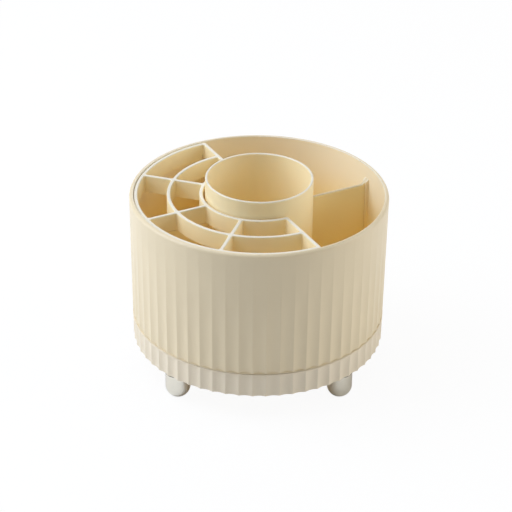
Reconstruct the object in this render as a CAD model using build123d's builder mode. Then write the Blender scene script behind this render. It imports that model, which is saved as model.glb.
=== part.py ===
from build123d import *
from math import cos, radians, sin
import os

# Rotating makeup brush holder: a fluted drum with a centre cup, dividers and a lift-out grid, which turns
# on a low fluted base with four bullet feet. Millimetres, +Z up, front towards -Y, and the origin lies on
# the table under the axis of rotation.

# Outline of the drum and the base
RIM_RADIUS = 80.0
RIM_Z = 116.0
SKIRT_BOTTOM_Z = 17.5
SKIRT_BOTTOM_RADIUS = 78.9
RIM_ROUND = 1.9
RIM_INNER_ROUND = 0.5

# Flutes, which deepen from nothing under the rim to their full depth at the foot of the skirt. The
# rounded arrises between them take a share of the pitch.
FLUTES = 60
FLUTE_TOP_Z = 113.5
FLUTE_DEPTH = 0.85
ARRIS_SHARE = 0.12

# Parting line between drum and base, with a plain band on each side that ends the flutes
PARTING_Z = 33.3
PARTING_GAP = 0.5
PARTING_BAND = 0.7
DRUM_BAND = 0.4
PARTING_BAND_PROUD = 0.05
PARTING_EDGE_BREAK = 0.35

# The dividers stand a quarter turn apart, the open one at the first azimuth
LAYOUT_ANGLE = 28.0
DIVIDERS = ["divider_open", "divider_rear", "divider_middle", "divider_front"]

# Drum wall and floor
WALL_INNER_RIM = 77.4
WALL_INNER_FLOOR = 76.7
WALL_INNER_SKIRT = 76.0
FLOOR_THICKNESS = 2.4
FLOOR_RIBS = 6
FLOOR_RIB_THICKNESS = 1.2
FLOOR_RIB_HEIGHT = 1.2

# Guides that hold the dividers' ends, on the wall and on the cup
GUIDE_THICKNESS = 0.8
GUIDE_SLOT = 2.4
GUIDE_ROOT = 0.5
GUIDE_LEAD = 2.1
GUIDE_LEAD_HEIGHT = 2.0
WALL_GUIDE_RADIUS = 75.1
WALL_GUIDE_TOP_Z = 107.4
CUP_GUIDE_RADIUS = 35.7
CUP_GUIDE_TOP_Z = 103.5

# Dividers, the open one with an ear that rises at its outer corner
DIVIDER_THICKNESS = 2.2
DIVIDER_TOP_Z = 104.0
DIVIDER_END_GAP = 0.25
DIVIDER_EDGE = 0.7
DIVIDER_EAR = 3.5
DIVIDER_EAR_HEIGHT = 3.3

# Grid insert
GRID_TOP_Z = 115.4
GRID_OUTER_RADIUS = 77.1
GRID_OUTER_WALL = 2.2
GRID_WALL = 2.2
GRID_RINGS = [55.8, 35.8]
GRID_SPOKES = 5
GRID_CORNER = 1.2
GRID_EDGE = 0.6
GRID_NOTCH_GAP = 0.3

# Centre cup
CUP_RADIUS = 33.3
CUP_WALL = 1.55
CUP_TOP_Z = 126.2
CUP_LIP = 0.7
CUP_FLOOR = 2.0
CUP_FLOOR_RISE = 4.0
CUP_FLOOR_ROUND = 2.0
CUP_BOSS_RADIUS = 3.6
CUP_SCREWS = 3
CUP_SCREW_CIRCLE = 22.0
LOCATING_RING_GAP = 0.15
LOCATING_RING_HEIGHT = 1.5
LOCATING_RING_WALL = 1.2

# Base, whose ribs and feet stand turned by a small angle against the front
BASE_ANGLE = 1.3
SKIRT_WALL = 2.5
DECK_TOP_Z = 27.8
DECK_THICKNESS = 2.3
BASE_RIBS = 8
BASE_RIB_THICKNESS = 1.5
BASE_RIB_BOTTOM_Z = 18.9
HUB_RADIUS = 10.0
HUB_TOP_Z = 30.8
HUB_BOTTOM_Z = 20.9
HUB_WELL_GAP = 0.7

# Bullet feet
FOOT_ANGLES = {"foot_rear_right": 45.0, "foot_rear_left": 135.0, "foot_front_left": 225.0,
               "foot_front_right": 315.0}
FOOT_CIRCLE = 70.8
FOOT_RADIUS = 7.8
FOOT_CENTER_Z = 7.6
FOOT_SHOULDER_ROUND = 0.5
FOOT_BOSS_RADIUS = 6.9
SPIGOT_RADIUS = 3.0
SPIGOT_HEIGHT = 2.0

# Turntable bearing
BALLS = 12
BALL_CIRCLE = 52.0
BALL_RADIUS = 3.0
BALL_GAP = 0.06
RACE_WIDTH = 8.0
RACE_THICKNESS = 1.4
RACE_RECESS = 0.6
RACE_SIDE_GAP = 0.1
GROOVE_RADIUS = 3.2
GROOVE_DEPTH = 0.7
CAGE_WIDTH = 10.0
CAGE_THICKNESS = 1.6
CAGE_POCKET_GAP = 0.2

# Centre pivot
PIVOT_RADIUS = 4.95
PIVOT_CLEARANCE = 0.05
PIVOT_BOTTOM_Z = 20.6
PIVOT_SHOULDER_RADIUS = 9.0
PIVOT_SHOULDER_GAP = 0.2
BUSH_OUTER_RADIUS = 7.0
BUSH_FLANGE_RADIUS = 9.5
BUSH_FLANGE = 1.0
WASHER_RADIUS = 9.0
WASHER_THICKNESS = 1.0

# Screws: shank radius, head radius, head height and length under the head
PIVOT_SCREW = (1.75, 3.8, 2.0, 11.0)
FOOT_SCREW = (1.5, 3.0, 2.0, 13.5)
CUP_SCREW = (1.4, 2.8, 1.6, 7.0)
FOOT_SCREW_SEAT_Z = 22.8
SCREW_CLEARANCE = 0.2
SCREW_HOLE_SPARE = 1.0
SCREW_DRIVE_DEPTH = 1.0
SCREW_DRIVE_WIDTH = 0.8
HEAD_BEVEL = 0.6

# How far a rib or a cut runs past the face where it ends
RUN_PAST = 1.0

# Heights and radii that follow from the sizes above
DRUM_BOTTOM_Z = PARTING_Z + PARTING_GAP / 2
SKIRT_TOP_Z = PARTING_Z - PARTING_GAP / 2
DECK_UNDERSIDE_Z = DECK_TOP_Z - DECK_THICKNESS
SKIRT_INNER_RADIUS = SKIRT_BOTTOM_RADIUS - FLUTE_DEPTH - SKIRT_WALL
RACE_INNER_RADIUS = BALL_CIRCLE - RACE_WIDTH / 2
RACE_OUTER_RADIUS = BALL_CIRCLE + RACE_WIDTH / 2
LOWER_RACE_Z = DECK_TOP_Z - RACE_RECESS
LOWER_GROOVE_Z = LOWER_RACE_Z + RACE_THICKNESS - GROOVE_DEPTH
BALL_Z = LOWER_GROOVE_Z + BALL_GAP + BALL_RADIUS
UPPER_GROOVE_Z = BALL_Z + BALL_RADIUS + BALL_GAP
UPPER_RACE_Z = UPPER_GROOVE_Z - GROOVE_DEPTH
FLOOR_UNDERSIDE_Z = UPPER_RACE_Z + RACE_THICKNESS - RACE_RECESS
FLOOR_TOP_Z = FLOOR_UNDERSIDE_Z + FLOOR_THICKNESS
PIVOT_SHOULDER_Z = HUB_TOP_Z + BUSH_FLANGE + PIVOT_SHOULDER_GAP
CUP_FLOOR_Z = FLOOR_TOP_Z + CUP_FLOOR_RISE
CUP_INNER_RADIUS = CUP_RADIUS - CUP_WALL
LOCATING_RING_RADIUS = CUP_INNER_RADIUS - LOCATING_RING_GAP


def taper_radius(z):
    """Radius of the arrises between the flutes at a height."""
    share = (RIM_Z - z) / (RIM_Z - SKIRT_BOTTOM_Z)
    return RIM_RADIUS - (RIM_RADIUS - SKIRT_BOTTOM_RADIUS) * share


def flute_depth(z):
    """Depth of the flutes at a height."""
    return FLUTE_DEPTH * (FLUTE_TOP_Z - z) / (FLUTE_TOP_Z - SKIRT_BOTTOM_Z)


def wall_inner_radius(z):
    """Inner radius of the drum's wall, which narrows towards the floor."""
    share = (RIM_Z - z) / (RIM_Z - FLOOR_TOP_Z)
    return WALL_INNER_RIM - (WALL_INNER_RIM - WALL_INNER_FLOOR) * share


def divider_end(z):
    """Radius of the dividers' outer ends at a height, just clear of the wall."""
    return wall_inner_radius(z) - DIVIDER_END_GAP


def around(radius, degrees):
    """Point on a circle about the axis."""
    return (radius * cos(radians(degrees)), radius * sin(radians(degrees)))


def radial_plane(degrees):
    """Upright plane through the axis, its x outwards at an azimuth and its y upwards."""
    x, y = around(1.0, degrees)
    return Plane(origin=(0, 0, 0), x_dir=(x, y, 0), z_dir=(y, -x, 0))


def fluted_section(z):
    """Cross-section at a height: a ring of hollow flutes that run smoothly into rounded arrises."""
    pitch = 360.0 / FLUTES
    edge = taper_radius(z)
    depth = flute_depth(z)
    foot = edge - ARRIS_SHARE * depth
    with BuildSketch(Plane.XY.offset(z)) as section:
        with BuildLine():
            for flute in range(FLUTES):
                arris = LAYOUT_ANGLE + flute * pitch
                before = around(foot, arris - ARRIS_SHARE * pitch / 2)
                after = around(foot, arris + ARRIS_SHARE * pitch / 2)
                following = around(foot, arris + pitch - ARRIS_SHARE * pitch / 2)
                ThreePointArc(before, around(edge, arris), after)
                ThreePointArc(after, around(edge - depth, arris + pitch / 2), following)
        make_face()
    return section.sketch


def fluted_blank(bottom, top):
    """Adds a solid between two heights whose flutes deepen downwards."""
    loft([fluted_section(bottom), fluted_section(top)], ruled=True)


def turned(*points, mode=Mode.ADD):
    """Turns a closed outline of (radius, height) points about the axis."""
    with BuildSketch(Plane.XZ) as section:
        with BuildLine():
            Polyline(*points, close=True)
        make_face()
    revolve(section.sketch, axis=Axis.Z, mode=mode)


def turned_ring(inner, outer, bottom, top, mode=Mode.ADD):
    """Adds or cuts a plain ring about the axis."""
    turned((inner, bottom), (outer, bottom), (outer, top), (inner, top), mode=mode)


def post(centers, radius, bottom, top, mode=Mode.ADD):
    """Adds or cuts a round post or hole at each centre, between two heights."""
    with Locations(*[(x, y, bottom) for x, y in centers]):
        Cylinder(radius, top - bottom, align=(Align.CENTER, Align.CENTER, Align.MIN), mode=mode)


def spokes(z, height, count, first, length, thickness):
    """Adds ribs under a plate, from the axis outwards."""
    with BuildSketch(Plane.XY.offset(z)) as ribs:
        with PolarLocations(0, count, start_angle=first):
            Rectangle(length, thickness, align=(Align.MIN, Align.CENTER))
    extrude(ribs.sketch, amount=height)


def guides(fixed, free, bottom, top):
    """Adds a pair of upright ribs at each divider, their tops sloping up towards the wall for a lead."""
    lead = GUIDE_LEAD if free < fixed else -GUIDE_LEAD
    for quarter in range(len(DIVIDERS)):
        plane = radial_plane(LAYOUT_ANGLE + 90.0 * quarter)
        for side in (GUIDE_SLOT / 2, -GUIDE_SLOT / 2 - GUIDE_THICKNESS):
            with BuildSketch(plane.offset(side)) as rib:
                with BuildLine():
                    Polyline((fixed, bottom), (free, bottom), (free, top - GUIDE_LEAD_HEIGHT),
                             (free + lead, top), (fixed, top), close=True)
                make_face()
            extrude(rib.sketch, amount=GUIDE_THICKNESS)


def screw(size, seat, way):
    """Pan-head screw on the axis, its head against the seat and its shank pointing up (1) or down (-1)."""
    shank, head, height, length = size
    end = seat - way * height
    tip = seat + way * length
    with BuildPart() as body:
        turned((0, end), (head - HEAD_BEVEL, end), (head, end + way * HEAD_BEVEL), (head, seat),
               (shank, seat), (shank, tip - way * shank), (0, tip))
        with Locations((0, 0, end + way * SCREW_DRIVE_DEPTH / 2)):
            Box(head, SCREW_DRIVE_WIDTH, SCREW_DRIVE_DEPTH, mode=Mode.SUBTRACT)
            Box(SCREW_DRIVE_WIDTH, head, SCREW_DRIVE_DEPTH, mode=Mode.SUBTRACT)
    return body.part


foot_centers = {name: around(FOOT_CIRCLE, degrees + BASE_ANGLE) for name, degrees in FOOT_ANGLES.items()}
cup_screw_centers = [around(CUP_SCREW_CIRCLE, 360.0 * number / CUP_SCREWS) for number in range(CUP_SCREWS)]
band_radius = taper_radius(DRUM_BOTTOM_Z + DRUM_BAND) + PARTING_BAND_PROUD
os.makedirs("parts", exist_ok=True)

# Base: fluted skirt, deck with the bearing's seat, hub, ribs and foot bosses in one moulding
with BuildPart() as base_housing:
    fluted_blank(SKIRT_BOTTOM_Z, SKIRT_TOP_Z)
    turned_ring(0, SKIRT_INNER_RADIUS, DECK_TOP_Z, SKIRT_TOP_Z, mode=Mode.SUBTRACT)
    turned_ring(0, SKIRT_INNER_RADIUS, SKIRT_BOTTOM_Z, DECK_UNDERSIDE_Z, mode=Mode.SUBTRACT)
    # Plain band that ends the flutes along the parting line, with a broken edge
    turned((SKIRT_INNER_RADIUS, SKIRT_TOP_Z - PARTING_BAND), (band_radius, SKIRT_TOP_Z - PARTING_BAND),
           (band_radius, SKIRT_TOP_Z - PARTING_EDGE_BREAK), (band_radius - PARTING_EDGE_BREAK, SKIRT_TOP_Z),
           (SKIRT_INNER_RADIUS, SKIRT_TOP_Z))
    spokes(BASE_RIB_BOTTOM_Z, DECK_UNDERSIDE_Z - BASE_RIB_BOTTOM_Z, BASE_RIBS,
           BASE_ANGLE + 180.0 / BASE_RIBS, SKIRT_INNER_RADIUS + RUN_PAST, BASE_RIB_THICKNESS)
    post([(0, 0)], HUB_RADIUS, HUB_BOTTOM_Z, HUB_TOP_Z)
    post(foot_centers.values(), FOOT_BOSS_RADIUS, SKIRT_BOTTOM_Z, DECK_UNDERSIDE_Z)
    # Well round the washer, seat of the bush and seat of the lower race
    post([(0, 0)], HUB_RADIUS + HUB_WELL_GAP, SKIRT_BOTTOM_Z, HUB_BOTTOM_Z, mode=Mode.SUBTRACT)
    post([(0, 0)], BUSH_OUTER_RADIUS, SKIRT_BOTTOM_Z, HUB_TOP_Z, mode=Mode.SUBTRACT)
    turned_ring(RACE_INNER_RADIUS - RACE_SIDE_GAP, RACE_OUTER_RADIUS + RACE_SIDE_GAP,
                LOWER_RACE_Z, DECK_TOP_Z, mode=Mode.SUBTRACT)
    # Each foot's spigot recess, screw hole and counterbore
    for radius, bottom, top in [(SPIGOT_RADIUS, SKIRT_BOTTOM_Z, SKIRT_BOTTOM_Z + SPIGOT_HEIGHT),
                                (FOOT_SCREW[0] + SCREW_CLEARANCE, SKIRT_BOTTOM_Z, DECK_TOP_Z),
                                (FOOT_SCREW[1] + SCREW_CLEARANCE, FOOT_SCREW_SEAT_Z, DECK_TOP_Z)]:
        post(foot_centers.values(), radius, bottom, top, mode=Mode.SUBTRACT)
base_housing.part.label = "base_housing"
export_step(base_housing.part, "parts/base_housing.step")

# Feet: bullets with a round shoulder, a small flat to stand on, a locating spigot and a blind screw hole
for name, (x, y) in foot_centers.items():
    with BuildPart() as foot:
        with Locations((x, y, FOOT_CENTER_Z)):
            Sphere(FOOT_RADIUS)
            Cylinder(FOOT_RADIUS, SKIRT_BOTTOM_Z - FOOT_CENTER_Z,
                     align=(Align.CENTER, Align.CENTER, Align.MIN))
        split(bisect_by=Plane.XY, keep=Keep.TOP)
        fillet(foot.edges().group_by(Axis.Z)[-1], FOOT_SHOULDER_ROUND)
        post([(x, y)], SPIGOT_RADIUS, SKIRT_BOTTOM_Z - SPIGOT_HEIGHT, SKIRT_BOTTOM_Z + SPIGOT_HEIGHT)
        post([(x, y)], FOOT_SCREW[0], FOOT_SCREW_SEAT_Z - FOOT_SCREW[3] - SCREW_HOLE_SPARE,
             SKIRT_BOTTOM_Z + SPIGOT_HEIGHT, mode=Mode.SUBTRACT)
    foot.part.label = name
    export_step(foot.part, f"parts/{name}.step")

with BuildPart() as foot_screws:
    with Locations(*foot_centers.values()):
        add(screw(FOOT_SCREW, FOOT_SCREW_SEAT_Z, -1))
foot_screws.part.label = "foot_screws"
export_step(foot_screws.part, "parts/foot_screws.step")

# Turntable bearing: two grooved steel races with a caged ring of balls between them
with BuildPart() as lower_race:
    turned_ring(RACE_INNER_RADIUS, RACE_OUTER_RADIUS, LOWER_RACE_Z, LOWER_RACE_Z + RACE_THICKNESS)
    with BuildSketch(Plane.XZ):
        with Locations((BALL_CIRCLE, LOWER_GROOVE_Z + GROOVE_RADIUS)):
            Circle(GROOVE_RADIUS)
    revolve(axis=Axis.Z, mode=Mode.SUBTRACT)
lower_race.part.label = "lower_race"
export_step(lower_race.part, "parts/lower_race.step")

with BuildPart() as upper_race:
    add(mirror(lower_race.part, about=Plane.XY.offset(BALL_Z), mode=Mode.PRIVATE))
upper_race.part.label = "upper_race"
export_step(upper_race.part, "parts/upper_race.step")

with BuildPart() as ball_cage:
    turned_ring(BALL_CIRCLE - CAGE_WIDTH / 2, BALL_CIRCLE + CAGE_WIDTH / 2, BALL_Z - CAGE_THICKNESS / 2,
                BALL_Z + CAGE_THICKNESS / 2)
    with Locations((0, 0, BALL_Z)):
        with PolarLocations(BALL_CIRCLE, BALLS):
            Cylinder(BALL_RADIUS + CAGE_POCKET_GAP, CAGE_THICKNESS, mode=Mode.SUBTRACT)
ball_cage.part.label = "ball_cage"
export_step(ball_cage.part, "parts/ball_cage.step")

with BuildPart() as bearing_balls:
    with Locations((0, 0, BALL_Z)):
        with PolarLocations(BALL_CIRCLE, BALLS):
            Sphere(BALL_RADIUS)
bearing_balls.part.label = "bearing_balls"
export_step(bearing_balls.part, "parts/bearing_balls.step")

# Centre pivot: flanged bush in the base's hub, and the washer and screw that hold the drum down
with BuildPart() as pivot_bush:
    post([(0, 0)], BUSH_OUTER_RADIUS, HUB_BOTTOM_Z, HUB_TOP_Z)
    post([(0, 0)], BUSH_FLANGE_RADIUS, HUB_TOP_Z, HUB_TOP_Z + BUSH_FLANGE)
    post([(0, 0)], PIVOT_RADIUS + PIVOT_CLEARANCE, HUB_BOTTOM_Z, HUB_TOP_Z + BUSH_FLANGE, mode=Mode.SUBTRACT)
pivot_bush.part.label = "pivot_bush"
export_step(pivot_bush.part, "parts/pivot_bush.step")

with BuildPart() as pivot_washer:
    turned_ring(PIVOT_SCREW[0], WASHER_RADIUS, PIVOT_BOTTOM_Z - WASHER_THICKNESS, PIVOT_BOTTOM_Z)
pivot_washer.part.label = "pivot_washer"
export_step(pivot_washer.part, "parts/pivot_washer.step")

with BuildPart() as pivot_screw:
    add(screw(PIVOT_SCREW, PIVOT_BOTTOM_Z - WASHER_THICKNESS, 1))
pivot_screw.part.label = "pivot_screw"
export_step(pivot_screw.part, "parts/pivot_screw.step")

# Drum: fluted wall with a smooth rolled rim, floor, divider guides and pivot shaft in one moulding
with BuildPart() as drum_shell:
    fluted_blank(DRUM_BOTTOM_Z, FLUTE_TOP_Z)
    turned_ring(WALL_INNER_SKIRT, band_radius, DRUM_BOTTOM_Z, DRUM_BOTTOM_Z + DRUM_BAND)
    with BuildSketch(Plane.XZ):
        with BuildLine():
            Polyline((WALL_INNER_SKIRT, FLUTE_TOP_Z), (taper_radius(FLUTE_TOP_Z), FLUTE_TOP_Z),
                     (RIM_RADIUS, RIM_Z), (WALL_INNER_SKIRT, RIM_Z), close=True)
        make_face()
    revolve(axis=Axis.Z)
    fillet(drum_shell.edges().group_by(Axis.Z)[-1].sort_by(SortBy.RADIUS)[-1], RIM_ROUND)
    turned((0, FLOOR_TOP_Z), (WALL_INNER_FLOOR, FLOOR_TOP_Z), (WALL_INNER_RIM, RIM_Z), (0, RIM_Z),
           mode=Mode.SUBTRACT)
    fillet(drum_shell.edges().group_by(Axis.Z)[-1].sort_by(SortBy.RADIUS)[0], RIM_INNER_ROUND)
    turned_ring(0, WALL_INNER_SKIRT, DRUM_BOTTOM_Z, FLOOR_UNDERSIDE_Z, mode=Mode.SUBTRACT)
    guides(WALL_INNER_RIM + GUIDE_ROOT, WALL_GUIDE_RADIUS, FLOOR_UNDERSIDE_Z, WALL_GUIDE_TOP_Z)
    turned_ring(LOCATING_RING_RADIUS - LOCATING_RING_WALL, LOCATING_RING_RADIUS, FLOOR_UNDERSIDE_Z,
                FLOOR_TOP_Z + LOCATING_RING_HEIGHT)
    # Pivot shaft with its shoulder, and ribs from it to the bearing
    spokes(FLOOR_UNDERSIDE_Z - FLOOR_RIB_HEIGHT, FLOOR_RIB_HEIGHT, FLOOR_RIBS, 180.0 / FLOOR_RIBS,
           RACE_INNER_RADIUS - CAGE_WIDTH / 4, FLOOR_RIB_THICKNESS)
    post([(0, 0)], PIVOT_SHOULDER_RADIUS, PIVOT_SHOULDER_Z, FLOOR_UNDERSIDE_Z)
    post([(0, 0)], PIVOT_RADIUS, PIVOT_BOTTOM_Z, FLOOR_UNDERSIDE_Z)
    post([(0, 0)], PIVOT_SCREW[0], PIVOT_BOTTOM_Z, PIVOT_BOTTOM_Z + PIVOT_SCREW[3], mode=Mode.SUBTRACT)
    # Seat of the upper race and holes for the cup's screws
    turned_ring(RACE_INNER_RADIUS - RACE_SIDE_GAP, RACE_OUTER_RADIUS + RACE_SIDE_GAP,
                FLOOR_UNDERSIDE_Z, FLOOR_UNDERSIDE_Z + RACE_RECESS, mode=Mode.SUBTRACT)
    post(cup_screw_centers, CUP_SCREW[0] + SCREW_CLEARANCE, FLOOR_UNDERSIDE_Z, FLOOR_TOP_Z,
         mode=Mode.SUBTRACT)
drum_shell.part.label = "drum_shell"
export_step(drum_shell.part, "parts/drum_shell.step")

# Centre cup: a plain tube with a rolled lip, a raised floor on screw bosses, and guides for the dividers
with BuildPart() as centre_cup:
    turned_ring(0, CUP_RADIUS, FLOOR_TOP_Z, CUP_TOP_Z)
    turned_ring(0, CUP_INNER_RADIUS, CUP_FLOOR_Z + CUP_FLOOR, CUP_TOP_Z, mode=Mode.SUBTRACT)
    fillet(centre_cup.edges().group_by(Axis.Z)[-1], CUP_LIP)
    inner_floor_edge = centre_cup.edges().filter_by(GeomType.CIRCLE).filter_by_position(
        Axis.Z, CUP_FLOOR_Z + CUP_FLOOR / 2, CUP_FLOOR_Z + 2 * CUP_FLOOR)
    fillet(inner_floor_edge, CUP_FLOOR_ROUND)
    turned_ring(0, CUP_INNER_RADIUS, FLOOR_TOP_Z, CUP_FLOOR_Z, mode=Mode.SUBTRACT)
    post(cup_screw_centers, CUP_BOSS_RADIUS, FLOOR_TOP_Z, CUP_FLOOR_Z)
    post(cup_screw_centers, CUP_SCREW[0], FLOOR_TOP_Z, FLOOR_UNDERSIDE_Z + CUP_SCREW[3], mode=Mode.SUBTRACT)
    guides(CUP_RADIUS - GUIDE_ROOT, CUP_GUIDE_RADIUS, FLOOR_TOP_Z, CUP_GUIDE_TOP_Z)
centre_cup.part.label = "centre_cup"
export_step(centre_cup.part, "parts/centre_cup.step")

with BuildPart() as cup_screws:
    with Locations(*cup_screw_centers):
        add(screw(CUP_SCREW, FLOOR_UNDERSIDE_Z, 1))
cup_screws.part.label = "cup_screws"
export_step(cup_screws.part, "parts/cup_screws.step")

# Dividers: flat panels that stand between the guides, with a rounded top edge
for quarter, name in enumerate(DIVIDERS):
    plane = radial_plane(LAYOUT_ANGLE + 90.0 * quarter)
    with BuildPart() as divider:
        with BuildSketch(plane):
            with BuildLine():
                Polyline((CUP_RADIUS + DIVIDER_END_GAP, FLOOR_TOP_Z), (divider_end(FLOOR_TOP_Z), FLOOR_TOP_Z),
                         (divider_end(DIVIDER_TOP_Z), DIVIDER_TOP_Z),
                         (CUP_RADIUS + DIVIDER_END_GAP, DIVIDER_TOP_Z), close=True)
            make_face()
        extrude(amount=DIVIDER_THICKNESS / 2, both=True)
        long_edges = divider.edges().group_by(Axis.Z)[-1].sort_by(SortBy.LENGTH)[-2:]
        fillet(long_edges, DIVIDER_EDGE)
        if name == "divider_open":
            # Sloping ear, which fills the gap between the guides' tops
            ear_bottom = DIVIDER_TOP_Z - DIVIDER_EDGE
            ear_top = DIVIDER_TOP_Z + DIVIDER_EAR_HEIGHT
            ear_start = divider_end(ear_top) - DIVIDER_EAR
            with BuildSketch(plane):
                with BuildLine():
                    Polyline((ear_start, ear_bottom), (divider_end(ear_bottom), ear_bottom),
                             (divider_end(ear_top), ear_top), (ear_start, DIVIDER_TOP_Z), close=True)
                make_face()
            extrude(amount=DIVIDER_THICKNESS / 2, both=True)
    divider.part.label = name
    export_step(divider.part, f"parts/{name}.step")

# Grid insert: a half ring of open cells, which lies on three dividers with its ends clear of the fourth
with BuildPart() as grid_insert:
    with BuildSketch(Plane.XY.offset(DIVIDER_TOP_Z)) as cells:
        Circle(GRID_OUTER_RADIUS)
        Circle(GRID_OUTER_RADIUS - GRID_OUTER_WALL, mode=Mode.SUBTRACT)
        for ring in GRID_RINGS:
            with BuildSketch(mode=Mode.PRIVATE) as wall:
                Circle(ring + GRID_WALL / 2)
                Circle(ring - GRID_WALL / 2, mode=Mode.SUBTRACT)
            add(wall.sketch)
        with BuildSketch(mode=Mode.PRIVATE) as bars:
            with PolarLocations(0, GRID_SPOKES, start_angle=LAYOUT_ANGLE + 90.0, angular_range=180.0,
                                endpoint=True):
                Rectangle(GRID_OUTER_RADIUS - GRID_OUTER_WALL / 2, GRID_WALL,
                          align=(Align.MIN, Align.CENTER))
            Circle(GRID_RINGS[-1], mode=Mode.SUBTRACT)
        add(bars.sketch)
        # The open half is cut away along the outer faces of the two end walls
        with Locations(Location((0, 0, 0), (0, 0, LAYOUT_ANGLE))):
            with Locations((GRID_WALL / 2, 0)):
                Rectangle(GRID_OUTER_RADIUS, 2 * GRID_OUTER_RADIUS, align=(Align.MIN, Align.CENTER),
                          mode=Mode.SUBTRACT)
        fillet(cells.vertices(), GRID_CORNER)
    extrude(amount=GRID_TOP_Z - DIVIDER_TOP_Z)
    # Notches over the three wall guides that stop the insert from turning in the drum
    notch_length = WALL_INNER_RIM + RUN_PAST - WALL_GUIDE_RADIUS
    notch_height = WALL_GUIDE_TOP_Z + GRID_NOTCH_GAP - DIVIDER_TOP_Z
    for quarter in range(1, len(DIVIDERS)):
        with BuildSketch(radial_plane(LAYOUT_ANGLE + 90.0 * quarter)):
            with Locations((WALL_GUIDE_RADIUS - GRID_NOTCH_GAP, DIVIDER_TOP_Z)):
                Rectangle(notch_length, notch_height, align=(Align.MIN, Align.MIN))
        extrude(amount=GUIDE_SLOT / 2 + GUIDE_THICKNESS + GRID_NOTCH_GAP, both=True, mode=Mode.SUBTRACT)
    fillet(grid_insert.edges().group_by(Axis.Z)[-1], GRID_EDGE)
grid_insert.part.label = "grid_insert"
export_step(grid_insert.part, "parts/grid_insert.step")
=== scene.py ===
"""Looks of the rotating makeup brush holder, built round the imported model. Metres, +Z up, front to -Y."""

import math

import bpy
from mathutils import Matrix, Vector


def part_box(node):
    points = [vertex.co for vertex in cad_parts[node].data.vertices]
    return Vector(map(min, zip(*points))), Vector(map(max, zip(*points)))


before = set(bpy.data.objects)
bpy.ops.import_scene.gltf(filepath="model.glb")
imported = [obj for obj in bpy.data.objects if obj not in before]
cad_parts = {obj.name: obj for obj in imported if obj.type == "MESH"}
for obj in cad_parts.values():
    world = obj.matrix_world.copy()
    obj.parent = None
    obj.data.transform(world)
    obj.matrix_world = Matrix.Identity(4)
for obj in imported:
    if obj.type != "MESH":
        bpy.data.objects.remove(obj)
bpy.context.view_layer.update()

MM = 0.001

# Heights of the rim, of the dividers' tops, just under the drum's floor, and where the feet meet the base
RIM_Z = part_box("drum_shell")[1].z
DIVIDER_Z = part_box("divider_rear")[1].z
UNDERSIDE_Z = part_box("divider_rear")[0].z - 2.0 * MM
SEAM_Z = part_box("base_housing")[0].z

# Radius between the drum's inner wall and its flutes
WALL_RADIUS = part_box("drum_shell")[1].x - 2.2 * MM

# Camera: it looks down at the rim's centre, turned aside by the last three angles, in degrees
CAMERA_ELEVATION = 27.861
CAMERA_DISTANCE = 1.2521
CAMERA_LENS_MM = 142.98
CAMERA_SENSOR_MM = 36.0
CAMERA_PITCH = 1.8116
CAMERA_YAW = -0.0683
CAMERA_ROLL = 0.650

# Tints of the softboxes
COOL = (0.925, 1.0, 1.14)
NEUTRAL = (1.0, 1.0, 1.0)

# Square softboxes, all as far from the middle of the object: azimuth, elevation, watts and tint
LIGHT_AIM = Vector((0.0, 0.0, 0.07))
LIGHT_DISTANCE = 1.3
LIGHT_SIZE = 1.0
LIGHTS = {
    "left_softbox": (180.0, 25.0, 8.4, COOL),
    "high_left_softbox": (180.0, 58.0, 10.2, COOL),
    "right_softbox": (0.0, 19.0, 9.1, NEUTRAL),
    "back_softbox": (90.0, 40.0, 3.5, NEUTRAL),
}

# Light inside the deep pale drum takes many bounces to fade
DIFFUSE_BOUNCES = 16
MAX_BOUNCES = 24

# Surroundings: the light they give, and how white each kind of ray sees them
WHITE = (1.0, 1.0, 1.0, 1.0)
WORLD_STRENGTH = 0.22
WORLD_SEEN = {"Is Glossy Ray": 0.6, "Is Transmission Ray": 1.0, "Is Camera Ray": 1.0}

# Floor: a round disc, and how much of its own white each kind of ray sees
FLOOR_RADIUS = 6.0
FLOOR_CORNERS = 64
FLOOR_CAMERA_WHITE = 0.94
FLOOR_GLOSSY_WHITE = 0.02
FLOOR_DARK = (0.90, 0.90, 0.90)
FLOOR_LIGHT = (0.92, 0.92, 0.92)
FLOOR_CLOUD_SCALE = 3.0
FLOOR_ROUGHNESS = 0.9

# Colours, linear
# Painted shade: the deep tones are the warmer, more saturated cream of light bounced about inside the drum,
# painted into the lower part
DRUM_DEEP_SHADE = (0.96, 0.79, 0.32)
DRUM_UPPER = (0.89, 0.80, 0.585)
PART_DEEP_SHADE = (0.90, 0.735, 0.27)
PART_UPPER = (0.92, 0.81, 0.52)
# Painted shade and sheen on the up-facing top edges: darker and greyer than the walls, for how the light
# falls on them
CREAM_TOP_SHADE = (0.73, 0.68, 0.56)
DIVIDER_DEEP_SHADE = (0.90, 0.77, 0.41)
DIVIDER_UPPER = (0.90, 0.785, 0.45)
# Painted shade and sheen on the dividers' up-facing top edges, darker than their walls
DIVIDER_TOP_SHADE = (0.62, 0.53, 0.35)
# The skin's cream is partly the plastic's own colour and partly a painted white sheen, paler and greyer
# than the inside
CREAM_SKIN_AND_SHEEN = (0.725, 0.605, 0.40)
CREAM_BASE = (0.755, 0.652, 0.485)
CHROME = (0.81, 0.765, 0.65)
STEEL = (0.56, 0.56, 0.55)
NYLON = (0.74, 0.72, 0.66)

# Height under which the inside has its deepest painted shade
DEEP_Z = 55.0 * MM
# The top edges' painted shade and sheen start this far under the dividers' tops, where a surface faces up
# by this share
TOP_EDGE_START = -3.0 * MM
TOP_EDGE_FULL = -2.0 * MM
TOP_EDGE_FACING = (0.2, 0.8)
# Half the width over which the drum's skin, with its painted sheen, takes over from its inside, with its
# painted shade, and its height under the floor
SKIN_BLEND = 0.3 * MM
UNDERSIDE_BLEND = 1.0 * MM

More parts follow.
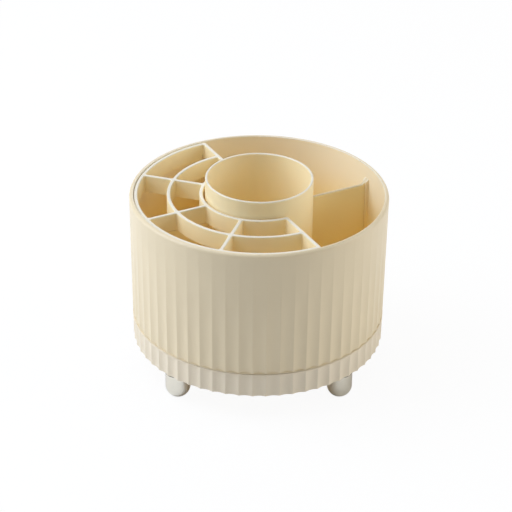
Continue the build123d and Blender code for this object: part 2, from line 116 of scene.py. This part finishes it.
# Moulded plastic: spark-eroded grain, flow of the melt and clouds in the pigment, in features per metre
SATIN = 0.42
NYLON_ROUGHNESS = 0.5
ROUGHNESS_SPREAD = 0.03
PLASTIC_IOR = 1.5
GRAIN_SCALE = 2600.0
GRAIN_HEIGHT = 0.012 * MM
GRAIN_STRENGTH = 0.6
FLOW_SCALE = 60.0
FLOW_STRETCH = (1.0, 1.0, 0.25)
FLOW_HEIGHT = 0.04 * MM
FLOW_STRENGTH = 0.5
PIGMENT_SCALE = 28.0
PIGMENT_SPREAD = 0.015

# Plated metal: clouds in the sheen and hairline wipe marks, in features per metre
CHROME_ROUGHNESS = 0.07
STEEL_ROUGHNESS = 0.28
CLOUD_SCALE = 180.0
CLOUD_SHADES = (0.97, 1.02)
CLOUD_HEIGHT = 0.02 * MM
CLOUD_STRENGTH = 0.3
MARK_SCALE = 900.0
MARK_STRETCH = (1.0, 1.0, 0.15)
MARK_SHARES = (0.7, 1.3)

# Painted shadow on the plating just under a seam, for the shaded gap it reflects there: where it starts and
# is full, and its shade
SEAM_START = -0.7 * MM
SEAM_FULL = -0.3 * MM
SEAM_SHADE = 0.2

# The part of a noise's range that most of it lies in
NOISE_LOW = 0.3
NOISE_HIGH = 0.7


class Shader:
    """A material's node tree, with short calls to add nodes to it."""

    def __init__(self, name):
        self.material = bpy.data.materials.new(name)
        self.material.use_nodes = True
        self.tree = self.material.node_tree
        self.surface = self.tree.nodes["Principled BSDF"]
        places = self.tree.nodes.new("ShaderNodeTexCoord").outputs
        self.coords, self.normals = places["Object"], places["Normal"]

    def add(self, kind, inputs=None, **settings):
        """Adds a node, sets its properties, and sets or links its inputs."""
        made = self.tree.nodes.new(kind)
        for key, value in settings.items():
            setattr(made, key, value)
        for key, value in (inputs or {}).items():
            self.put(made.inputs[key], value)
        return made

    def put(self, socket, value):
        """Links an output to a socket, or sets its value."""
        if isinstance(value, bpy.types.NodeSocket):
            self.tree.links.new(value, socket)
        else:
            socket.default_value = value

    def set(self, **values):
        """Sets or links the surface's inputs, with underscores for the spaces in their names."""
        for key, value in values.items():
            self.put(self.surface.inputs[key.replace("_", " ")], value)

    def noise(self, scale, detail=2.0, stretch=(1.0, 1.0, 1.0)):
        """Noise from 0 to 1 in the object's own space, its scale in features per metre."""
        mapped = self.add("ShaderNodeMapping", {"Vector": self.coords, "Scale": stretch})
        made = self.add("ShaderNodeTexNoise", {
            "Vector": mapped.outputs[0], "Scale": scale, "Detail": detail})
        return made.outputs["Fac"]

    def between(self, noise, low, high):
        """A value that follows a noise from low to high."""
        made = self.add("ShaderNodeMapRange", {
            "Value": noise, "From Min": NOISE_LOW, "From Max": NOISE_HIGH, "To Min": low, "To Max": high})
        return made.outputs[0]

    def mix(self, factor, first, second):
        """A colour that follows a factor from the first to the second."""
        made = self.add("ShaderNodeMix", data_type="RGBA")
        self.put(made.inputs["Factor"], factor)
        self.put(made.inputs[6], first)
        self.put(made.inputs[7], second)
        return made.outputs[2]

    def tint(self, factor, first, second):
        """As mix, between two plain colours."""
        return self.mix(factor, (*first, 1.0), (*second, 1.0))

    def ramp(self, value, start, end):
        """A smooth step from 0 to 1 as a value goes from start to end."""
        made = self.add("ShaderNodeMapRange", {"Value": value, "From Min": start, "From Max": end},
                        interpolation_type="SMOOTHSTEP")
        return made.outputs[0]

    def math(self, operation, *values):
        """The result of a sum on numbers or outputs."""
        return self.add("ShaderNodeMath", dict(enumerate(values)), operation=operation).outputs[0]

    def split(self, vector):
        """The X, Y and Z of a vector."""
        return self.add("ShaderNodeSeparateXYZ", {0: vector}).outputs

    def bump(self, height, distance, strength, under=None):
        """A bump of a real height, over another one if given."""
        made = self.add("ShaderNodeBump", {"Height": height, "Distance": distance, "Strength": strength})
        if under is not None:
            self.put(made.inputs["Normal"], under)
        return made.outputs[0]


def shade(color, factor):
    """A colour made lighter or darker."""
    return tuple(channel * factor for channel in color)


def pigment(s, color):
    """A plain colour that varies a little from place to place."""
    clouds = s.between(s.noise(PIGMENT_SCALE, 3.0), 0.0, 1.0)
    return s.tint(clouds, shade(color, 1.0 - PIGMENT_SPREAD), shade(color, 1.0 + PIGMENT_SPREAD))


def cream_with_painted_shade(s, deep, upper, top):
    """Cream with painted shade: warmer and more saturated towards the drum's floor for light bounced about
    inside, with painted shade and sheen on the up-facing top edges.
    """
    height = s.split(s.coords)["Z"]
    facing = s.split(s.normals)["Z"]
    walls = s.mix(s.ramp(height, DEEP_Z, DIVIDER_Z), pigment(s, deep), pigment(s, upper))
    high = s.ramp(height, DIVIDER_Z + TOP_EDGE_START, DIVIDER_Z + TOP_EDGE_FULL)
    edge = s.math("MULTIPLY", s.ramp(facing, *TOP_EDGE_FACING), high)
    return s.mix(edge, walls, pigment(s, top))


def drum_cream_with_painted_light(s):
    """The inner cream with its painted shade, and the paler skin of the fluted outside, partly its own
    colour and partly a painted sheen.
    """
    place = s.split(s.coords)
    x_squared = s.math("POWER", place["X"], 2.0)
    y_squared = s.math("POWER", place["Y"], 2.0)
    radius = s.math("SQRT", s.math("ADD", x_squared, y_squared))
    outside = s.ramp(radius, WALL_RADIUS - SKIN_BLEND, WALL_RADIUS + SKIN_BLEND)
    under = s.ramp(place["Z"], UNDERSIDE_Z, UNDERSIDE_Z - UNDERSIDE_BLEND)
    inside = cream_with_painted_shade(s, DRUM_DEEP_SHADE, DRUM_UPPER, CREAM_TOP_SHADE)
    return s.mix(s.math("MAXIMUM", outside, under), inside, pigment(s, CREAM_SKIN_AND_SHEEN))


def moulded_plastic(name, roughness, color):
    """Satin moulded plastic: a fine spark-eroded grain and faint flow of the melt under a given colour."""
    s = Shader(name)
    flow = s.noise(FLOW_SCALE, stretch=FLOW_STRETCH)
    grain = s.noise(GRAIN_SCALE)
    satin = s.between(flow, roughness - ROUGHNESS_SPREAD, roughness + ROUGHNESS_SPREAD)
    s.set(Base_Color=color(s), Roughness=satin, IOR=PLASTIC_IOR)
    waves = s.bump(flow, FLOW_HEIGHT, FLOW_STRENGTH)
    s.set(Normal=s.bump(grain, GRAIN_HEIGHT, GRAIN_STRENGTH, waves))
    return s.material


def plated_metal(name, color, roughness, seam_z=None):
    """Bright plating: its sheen varies a little, with hairline wipe marks, and painted shadow darkens it
    towards a seam.
    """
    s = Shader(name)
    cloud = s.noise(CLOUD_SCALE, 3.0)
    marks = s.noise(MARK_SCALE, 3.0, MARK_STRETCH)
    dark, light = (shade(color, factor) for factor in CLOUD_SHADES)
    base = s.tint(s.between(cloud, 0.0, 1.0), dark, light)
    if seam_z is not None:
        # Painted shadow: the plating darkens where the foot meets the base, for the shaded gap under the
        # skirt that it reflects
        painted_seam_shadow = s.ramp(s.split(s.coords)["Z"], seam_z + SEAM_START, seam_z + SEAM_FULL)
        base = s.mix(painted_seam_shadow, base, (*shade(color, SEAM_SHADE), 1.0))
    smooth, rough = (roughness * share for share in MARK_SHARES)
    s.set(Base_Color=base, Metallic=1.0, Roughness=s.between(marks, smooth, rough))
    s.set(Normal=s.bump(cloud, CLOUD_HEIGHT, CLOUD_STRENGTH))
    return s.material


def floor_material():
    """Pale floor that the camera sees as nearly white, with the object's shadow kept."""
    s = Shader("pale_floor")
    s.set(Base_Color=s.tint(s.noise(FLOOR_CLOUD_SCALE), FLOOR_DARK, FLOOR_LIGHT), Roughness=FLOOR_ROUGHNESS)
    white = s.add("ShaderNodeEmission", {"Color": WHITE, "Strength": 1.0})
    rays = s.add("ShaderNodeLightPath")
    seen = s.math("MULTIPLY", rays.outputs["Is Camera Ray"], FLOOR_CAMERA_WHITE)
    mirrored = s.math("MULTIPLY", rays.outputs["Is Glossy Ray"], FLOOR_GLOSSY_WHITE)
    share = s.math("MAXIMUM", seen, mirrored)
    mixed = s.add("ShaderNodeMixShader", {0: share, 1: s.surface.outputs[0], 2: white.outputs[0]})
    s.put(s.tree.nodes["Material Output"].inputs["Surface"], mixed.outputs[0])
    return s.material


def dress(material, *nodes):
    """Gives CAD nodes a material."""
    for name in nodes:
        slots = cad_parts[name].data.materials
        slots.clear()
        slots.append(material)


def make_camera():
    """The camera at the photograph's viewing angle."""
    elevation, yaw = math.radians(CAMERA_ELEVATION), math.radians(CAMERA_YAW)
    down = math.radians(CAMERA_ELEVATION + CAMERA_PITCH)
    away = Vector((0.0, -math.cos(elevation), math.sin(elevation)))
    place = Vector((0.0, 0.0, RIM_Z)) + away * CAMERA_DISTANCE
    look = Vector((math.sin(yaw), math.cos(yaw) * math.cos(down), -math.cos(yaw) * math.sin(down)))
    data = bpy.data.cameras.new("camera")
    data.lens = CAMERA_LENS_MM
    data.sensor_width = CAMERA_SENSOR_MM
    camera = bpy.data.objects.new("camera", data)
    aim = look.to_track_quat("-Z", "Y").to_matrix().to_4x4()
    roll = Matrix.Rotation(math.radians(CAMERA_ROLL), 4, "Z")
    camera.matrix_world = Matrix.Translation(place) @ aim @ roll
    bpy.context.scene.collection.objects.link(camera)
    bpy.context.scene.camera = camera


def make_lights():
    """Softboxes round the object."""
    for name, (azimuth, elevation, power, tint) in LIGHTS.items():
        a, e = math.radians(azimuth), math.radians(elevation)
        away = Vector((math.cos(a) * math.cos(e), math.sin(a) * math.cos(e), math.sin(e)))
        data = bpy.data.lights.new(name, "AREA")
        data.size = LIGHT_SIZE
        data.energy = power
        data.color = tint
        light = bpy.data.objects.new(name, data)
        light.location = LIGHT_AIM + away * LIGHT_DISTANCE
        light.rotation_mode = "QUATERNION"
        light.rotation_quaternion = (-away).to_track_quat("-Z", "Y")
        bpy.context.scene.collection.objects.link(light)


def make_world():
    """Even pale surroundings that the camera sees as white, and glossy surfaces as nearly white."""
    world = bpy.data.worlds.new("studio")
    world.use_nodes = True
    bpy.context.scene.world = world
    nodes, links = world.node_tree.nodes, world.node_tree.links
    background = nodes["Background"].inputs
    rays = nodes.new("ShaderNodeLightPath")
    strength = None
    for ray, level in WORLD_SEEN.items():
        pick = nodes.new("ShaderNodeMix")
        pick.inputs["A"].default_value = WORLD_STRENGTH
        pick.inputs["B"].default_value = level
        links.new(rays.outputs[ray], pick.inputs["Factor"])
        if strength is not None:
            links.new(strength, pick.inputs["A"])
        strength = pick.outputs["Result"]
    links.new(strength, background["Strength"])
    background["Color"].default_value = WHITE


def make_floor():
    """A wide disc under the feet."""
    mesh = bpy.data.meshes.new("floor")
    angles = [math.radians(360.0 * k / FLOOR_CORNERS) for k in range(FLOOR_CORNERS)]
    corners = [(FLOOR_RADIUS * math.cos(a), FLOOR_RADIUS * math.sin(a), 0.0) for a in angles]
    mesh.from_pydata(corners, [], [list(range(FLOOR_CORNERS))])
    mesh.materials.append(floor_material())
    floor = bpy.data.objects.new("floor", mesh)
    bpy.context.scene.collection.objects.link(floor)


make_camera()
make_lights()
make_world()
make_floor()
bpy.context.scene.view_settings.view_transform = "Standard"
bpy.context.scene.cycles.diffuse_bounces = DIFFUSE_BOUNCES
bpy.context.scene.cycles.max_bounces = MAX_BOUNCES

drum_plastic = moulded_plastic("drum_plastic", SATIN, drum_cream_with_painted_light)
part_plastic = moulded_plastic(
    "part_plastic", SATIN, lambda s: cream_with_painted_shade(s, PART_DEEP_SHADE, PART_UPPER, CREAM_TOP_SHADE))
divider_plastic = moulded_plastic(
    "divider_plastic", SATIN, lambda s: cream_with_painted_shade(s, DIVIDER_DEEP_SHADE, DIVIDER_UPPER, DIVIDER_TOP_SHADE))
base_plastic = moulded_plastic("base_plastic", SATIN, lambda s: pigment(s, CREAM_BASE))
nylon = moulded_plastic("nylon", NYLON_ROUGHNESS, lambda s: pigment(s, NYLON))
chrome = plated_metal("foot_chrome", CHROME, CHROME_ROUGHNESS, SEAM_Z)
steel = plated_metal("steel", STEEL, STEEL_ROUGHNESS)

dress(drum_plastic, "drum_shell")
dress(part_plastic, "centre_cup", "grid_insert")
dress(divider_plastic, "divider_open", "divider_rear", "divider_middle", "divider_front")
dress(base_plastic, "base_housing")
dress(chrome, "foot_front_left", "foot_front_right", "foot_rear_left", "foot_rear_right")
dress(steel, "foot_screws", "cup_screws", "pivot_screw", "pivot_washer")
dress(steel, "lower_race", "upper_race", "bearing_balls")
dress(nylon, "pivot_bush", "ball_cage")
